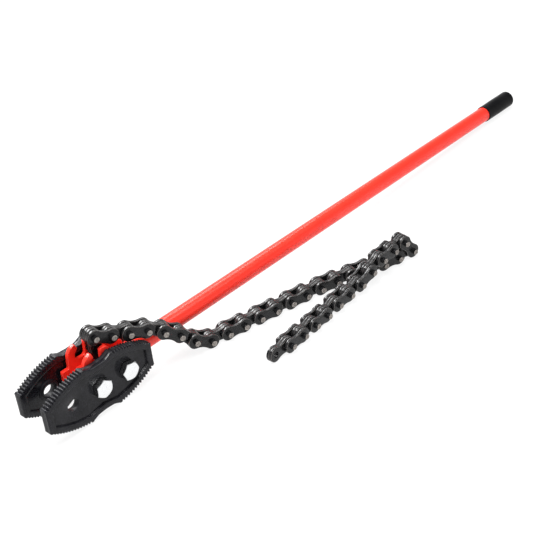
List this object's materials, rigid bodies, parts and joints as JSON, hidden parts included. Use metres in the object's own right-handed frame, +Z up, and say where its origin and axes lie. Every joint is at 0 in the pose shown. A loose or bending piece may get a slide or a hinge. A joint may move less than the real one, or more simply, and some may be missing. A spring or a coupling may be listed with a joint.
{
  "type": "chain pipe wrench",
  "caption": "Long-handled chain pipe wrench: tubular handle, two bolted double-ended toothed jaws and a plate-link chain lying folded beside the handle.",
  "frame": {"origin": "middle of the footprint of the wrench and its laid-out chain, on the floor that it lies on", "axes": "+X along the handle from the jaws to the grip, +Z up, +Y to the side that has the nuts"},
  "size_m": [1.3719, 0.2521, 0.1346],
  "materials": {
    "red_enamel": "gloss red enamel",
    "black_enamel": "satin black enamel on forged steel",
    "black_oxide": "black oxide, worn bright on its edges",
    "bright_zinc": "bright zinc plate",
    "grip_vinyl": "satin dipped vinyl"
  },
  "bodies": {
    "wrench": {"handle_tube": "red_enamel", "end_grip": "grip_vinyl", "front_jaw": "black_enamel", "rear_jaw": "black_enamel", "front_cheek": "red_enamel", "rear_cheek": "red_enamel", "centre_bolt": "bright_zinc", "second_bolt": "bright_zinc", "centre_nut": "bright_zinc", "second_nut": "bright_zinc", "centre_washer": "bright_zinc", "second_washer": "bright_zinc", "spacer_sleeve": "red_enamel", "anchor_pin": "black_oxide"},
    "inner_link_01": {"inner_link_01": "black_oxide"},
    "outer_link_01": {"outer_link_01": "black_oxide"},
    "inner_link_02": {"inner_link_02": "black_oxide"},
    "outer_link_02": {"outer_link_02": "black_oxide"},
    "inner_link_03": {"inner_link_03": "black_oxide"},
    "outer_link_03": {"outer_link_03": "black_oxide"},
    "inner_link_04": {"inner_link_04": "black_oxide"},
    "outer_link_04": {"outer_link_04": "black_oxide"},
    "inner_link_05": {"inner_link_05": "black_oxide"},
    "outer_link_05": {"outer_link_05": "black_oxide"},
    "inner_link_06": {"inner_link_06": "black_oxide"},
    "outer_link_06": {"outer_link_06": "black_oxide"},
    "inner_link_07": {"inner_link_07": "black_oxide"},
    "outer_link_07": {"outer_link_07": "black_oxide"},
    "inner_link_08": {"inner_link_08": "black_oxide"},
    "outer_link_08": {"outer_link_08": "black_oxide"},
    "inner_link_09": {"inner_link_09": "black_oxide"},
    "outer_link_09": {"outer_link_09": "black_oxide"},
    "inner_link_10": {"inner_link_10": "black_oxide"},
    "outer_link_10": {"outer_link_10": "black_oxide"},
    "inner_link_11": {"inner_link_11": "black_oxide"},
    "outer_link_11": {"outer_link_11": "black_oxide"},
    "inner_link_12": {"inner_link_12": "black_oxide"},
    "outer_link_12": {"outer_link_12": "black_oxide"},
    "inner_link_13": {"inner_link_13": "black_oxide"},
    "outer_link_13": {"outer_link_13": "black_oxide"},
    "inner_link_14": {"inner_link_14": "black_oxide"},
    "outer_link_14": {"outer_link_14": "black_oxide"},
    "inner_link_15": {"inner_link_15": "black_oxide"},
    "outer_link_15": {"outer_link_15": "black_oxide"},
    "inner_link_16": {"inner_link_16": "black_oxide"},
    "outer_link_16": {"outer_link_16": "black_oxide"},
    "inner_link_17": {"inner_link_17": "black_oxide"}
  },
  "joints": [
    {"name": "inner_link_01_pin", "type": "hinge", "parent": "wrench", "child": "inner_link_01", "pos_m": [-0.55079, 0.06904, 0.0885], "axis": [0, 1, 0], "range_deg": [-10, 0]},
    {"name": "outer_link_01_pin", "type": "hinge", "parent": "inner_link_01", "child": "outer_link_01", "pos_m": [-0.55364, 0.06724, 0.12117], "axis": [-0.1392, -0.9903, 0], "range_deg": [0, 60]},
    {"name": "inner_link_02_pin", "type": "hinge", "parent": "outer_link_01", "child": "inner_link_02", "pos_m": [-0.52397, 0.06307, 0.10783], "axis": [0.1392, 0.9903, 0], "range_deg": [-60, 0]},
    {"name": "outer_link_02_pin", "type": "hinge", "parent": "inner_link_02", "child": "outer_link_02", "pos_m": [-0.49382, 0.05666, 0.09661], "axis": [-0.2419, -0.9703, 0], "range_deg": [0, 60]},
    {"name": "inner_link_03_pin", "type": "hinge", "parent": "outer_link_02", "child": "inner_link_03", "pos_m": [-0.46355, 0.04911, 0.08648], "axis": [0.2419, 0.9703, 0], "range_deg": [-60, 0]},
    {"name": "outer_link_03_pin", "type": "hinge", "parent": "inner_link_03", "child": "outer_link_03", "pos_m": [-0.43654, 0.04033, 0.07008], "axis": [-0.3256, -0.9455, 0], "range_deg": [0, 60]},
    {"name": "inner_link_04_pin", "type": "hinge", "parent": "outer_link_03", "child": "inner_link_04", "pos_m": [-0.41145, 0.0317, 0.0508], "axis": [0.3256, 0.9455, 0], "range_deg": [-60, 0]},
    {"name": "outer_link_04_pin", "type": "hinge", "parent": "inner_link_04", "child": "outer_link_04", "pos_m": [-0.38952, 0.02414, 0.0276], "axis": [-0.2756, -0.9613, 0], "range_deg": [0, 60]},
    {"name": "inner_link_05_pin", "type": "hinge", "parent": "outer_link_04", "child": "inner_link_05", "pos_m": [-0.36105, 0.01598, 0.0135], "axis": [0.2756, 0.9613, 0], "range_deg": [-60, 60]},
    {"name": "outer_link_05_pin", "type": "hinge", "parent": "inner_link_05", "child": "outer_link_05", "pos_m": [-0.32922, 0.00805, 0.0135], "axis": [-0.2419, -0.9703, 0], "range_deg": [-60, 60]},
    {"name": "inner_link_06_pin", "type": "hinge", "parent": "outer_link_05", "child": "inner_link_06", "pos_m": [-0.2974, 0.00011, 0.0135], "axis": [0.2419, 0.9703, 0], "range_deg": [-60, 60]},
    {"name": "outer_link_06_pin", "type": "hinge", "parent": "inner_link_06", "child": "outer_link_06", "pos_m": [-0.26557, -0.00782, 0.0135], "axis": [-0.2419, -0.9703, 0], "range_deg": [-60, 60]},
    {"name": "inner_link_07_pin", "type": "hinge", "parent": "outer_link_06", "child": "inner_link_07", "pos_m": [-0.23375, -0.01576, 0.0135], "axis": [0.2419, 0.9703, 0], "range_deg": [-60, 60]},
    {"name": "outer_link_07_pin", "type": "hinge", "parent": "inner_link_07", "child": "outer_link_07", "pos_m": [-0.20192, -0.02369, 0.0135], "axis": [-0.2419, -0.9703, 0], "range_deg": [-60, 60]},
    {"name": "inner_link_08_pin", "type": "hinge", "parent": "outer_link_07", "child": "inner_link_08", "pos_m": [-0.1701, -0.03163, 0.0135], "axis": [0.2419, 0.9703, 0], "range_deg": [-60, 60]},
    {"name": "outer_link_08_pin", "type": "hinge", "parent": "inner_link_08", "child": "outer_link_08", "pos_m": [-0.13857, -0.04067, 0.0135], "axis": [-0.309, -0.9511, 0], "range_deg": [-60, 60]},
    {"name": "inner_link_09_pin", "type": "hinge", "parent": "outer_link_08", "child": "inner_link_09", "pos_m": [-0.10737, -0.05081, 0.0135], "axis": [0.309, 0.9511, 0], "range_deg": [-60, 60]},
    {"name": "outer_link_09_pin", "type": "hinge", "parent": "inner_link_09", "child": "outer_link_09", "pos_m": [-0.07675, -0.06256, 0.0135], "axis": [-0.4067, -0.9135, 0], "range_deg": [-60, 60]},
    {"name": "inner_link_10_pin", "type": "hinge", "parent": "outer_link_09", "child": "inner_link_10", "pos_m": [-0.04679, -0.0759, 0.0135], "axis": [0.4067, 0.9135, 0], "range_deg": [0, 90]},
    {"name": "outer_link_10_pin", "type": "hinge", "parent": "inner_link_10", "child": "outer_link_10", "pos_m": [-0.01616, -0.08765, 0.0135], "axis": [-0.2924, -0.9563, 0], "range_deg": [-90, 0]},
    {"name": "inner_link_11_pin", "type": "hinge", "parent": "outer_link_10", "child": "inner_link_11", "pos_m": [0.0152, -0.09724, 0.0135], "axis": [0.2924, 0.9563, 0], "range_deg": [0, 90]},
    {"name": "outer_link_11_pin", "type": "hinge", "parent": "inner_link_11", "child": "outer_link_11", "pos_m": [0.04716, -0.10462, 0.0135], "axis": [-0.1564, -0.9877, 0], "range_deg": [-90, 0]},
    {"name": "inner_link_12_pin", "type": "hinge", "parent": "outer_link_11", "child": "inner_link_12", "pos_m": [0.02766, -0.10154, 0.0397], "axis": [0.1564, 0.9877, 0], "range_deg": [0, 90]},
    {"name": "outer_link_12_pin", "type": "hinge", "parent": "inner_link_12", "child": "outer_link_12", "pos_m": [-0.00499, -0.09868, 0.03855], "axis": [-0.0175, -0.9998, 0], "range_deg": [-90, 0]},
    {"name": "inner_link_13_pin", "type": "hinge", "parent": "outer_link_12", "child": "inner_link_13", "pos_m": [-0.03776, -0.09811, 0.03741], "axis": [0.0175, 0.9998, 0], "range_deg": [0, 90]},
    {"name": "outer_link_13_pin", "type": "hinge", "parent": "inner_link_13", "child": "outer_link_13", "pos_m": [-0.06945, -0.09811, 0.02892], "axis": [-0.0175, -0.9998, 0], "range_deg": [-60, 60]},
    {"name": "inner_link_14_pin", "type": "hinge", "parent": "outer_link_13", "child": "inner_link_14", "pos_m": [-0.10081, -0.09756, 0.01933], "axis": [0.0175, 0.9998, 0], "range_deg": [-60, 60]},
    {"name": "outer_link_14_pin", "type": "hinge", "parent": "inner_link_14", "child": "outer_link_14", "pos_m": [-0.13356, -0.09756, 0.01761], "axis": [0, -1, 0], "range_deg": [-60, 60]},
    {"name": "inner_link_15_pin", "type": "hinge", "parent": "outer_link_14", "child": "inner_link_15", "pos_m": [-0.16632, -0.09756, 0.01589], "axis": [0, 1, 0], "range_deg": [-60, 60]},
    {"name": "outer_link_15_pin", "type": "hinge", "parent": "inner_link_15", "child": "outer_link_15", "pos_m": [-0.19902, -0.0987, 0.01361], "axis": [0.0349, -0.9994, 0], "range_deg": [-60, 60]},
    {"name": "inner_link_16_pin", "type": "hinge", "parent": "outer_link_15", "child": "inner_link_16", "pos_m": [-0.2318, -0.09985, 0.0135], "axis": [-0.0349, 0.9994, 0], "range_deg": [-60, 60]},
    {"name": "outer_link_16_pin", "type": "hinge", "parent": "inner_link_16", "child": "outer_link_16", "pos_m": [-0.26458, -0.10099, 0.0135], "axis": [0.0349, -0.9994, 0], "range_deg": [-60, 60]},
    {"name": "inner_link_17_pin", "type": "hinge", "parent": "outer_link_16", "child": "inner_link_17", "pos_m": [-0.29736, -0.10214, 0.0135], "axis": [-0.0349, 0.9994, 0], "range_deg": [-60, 60]}
  ]
}
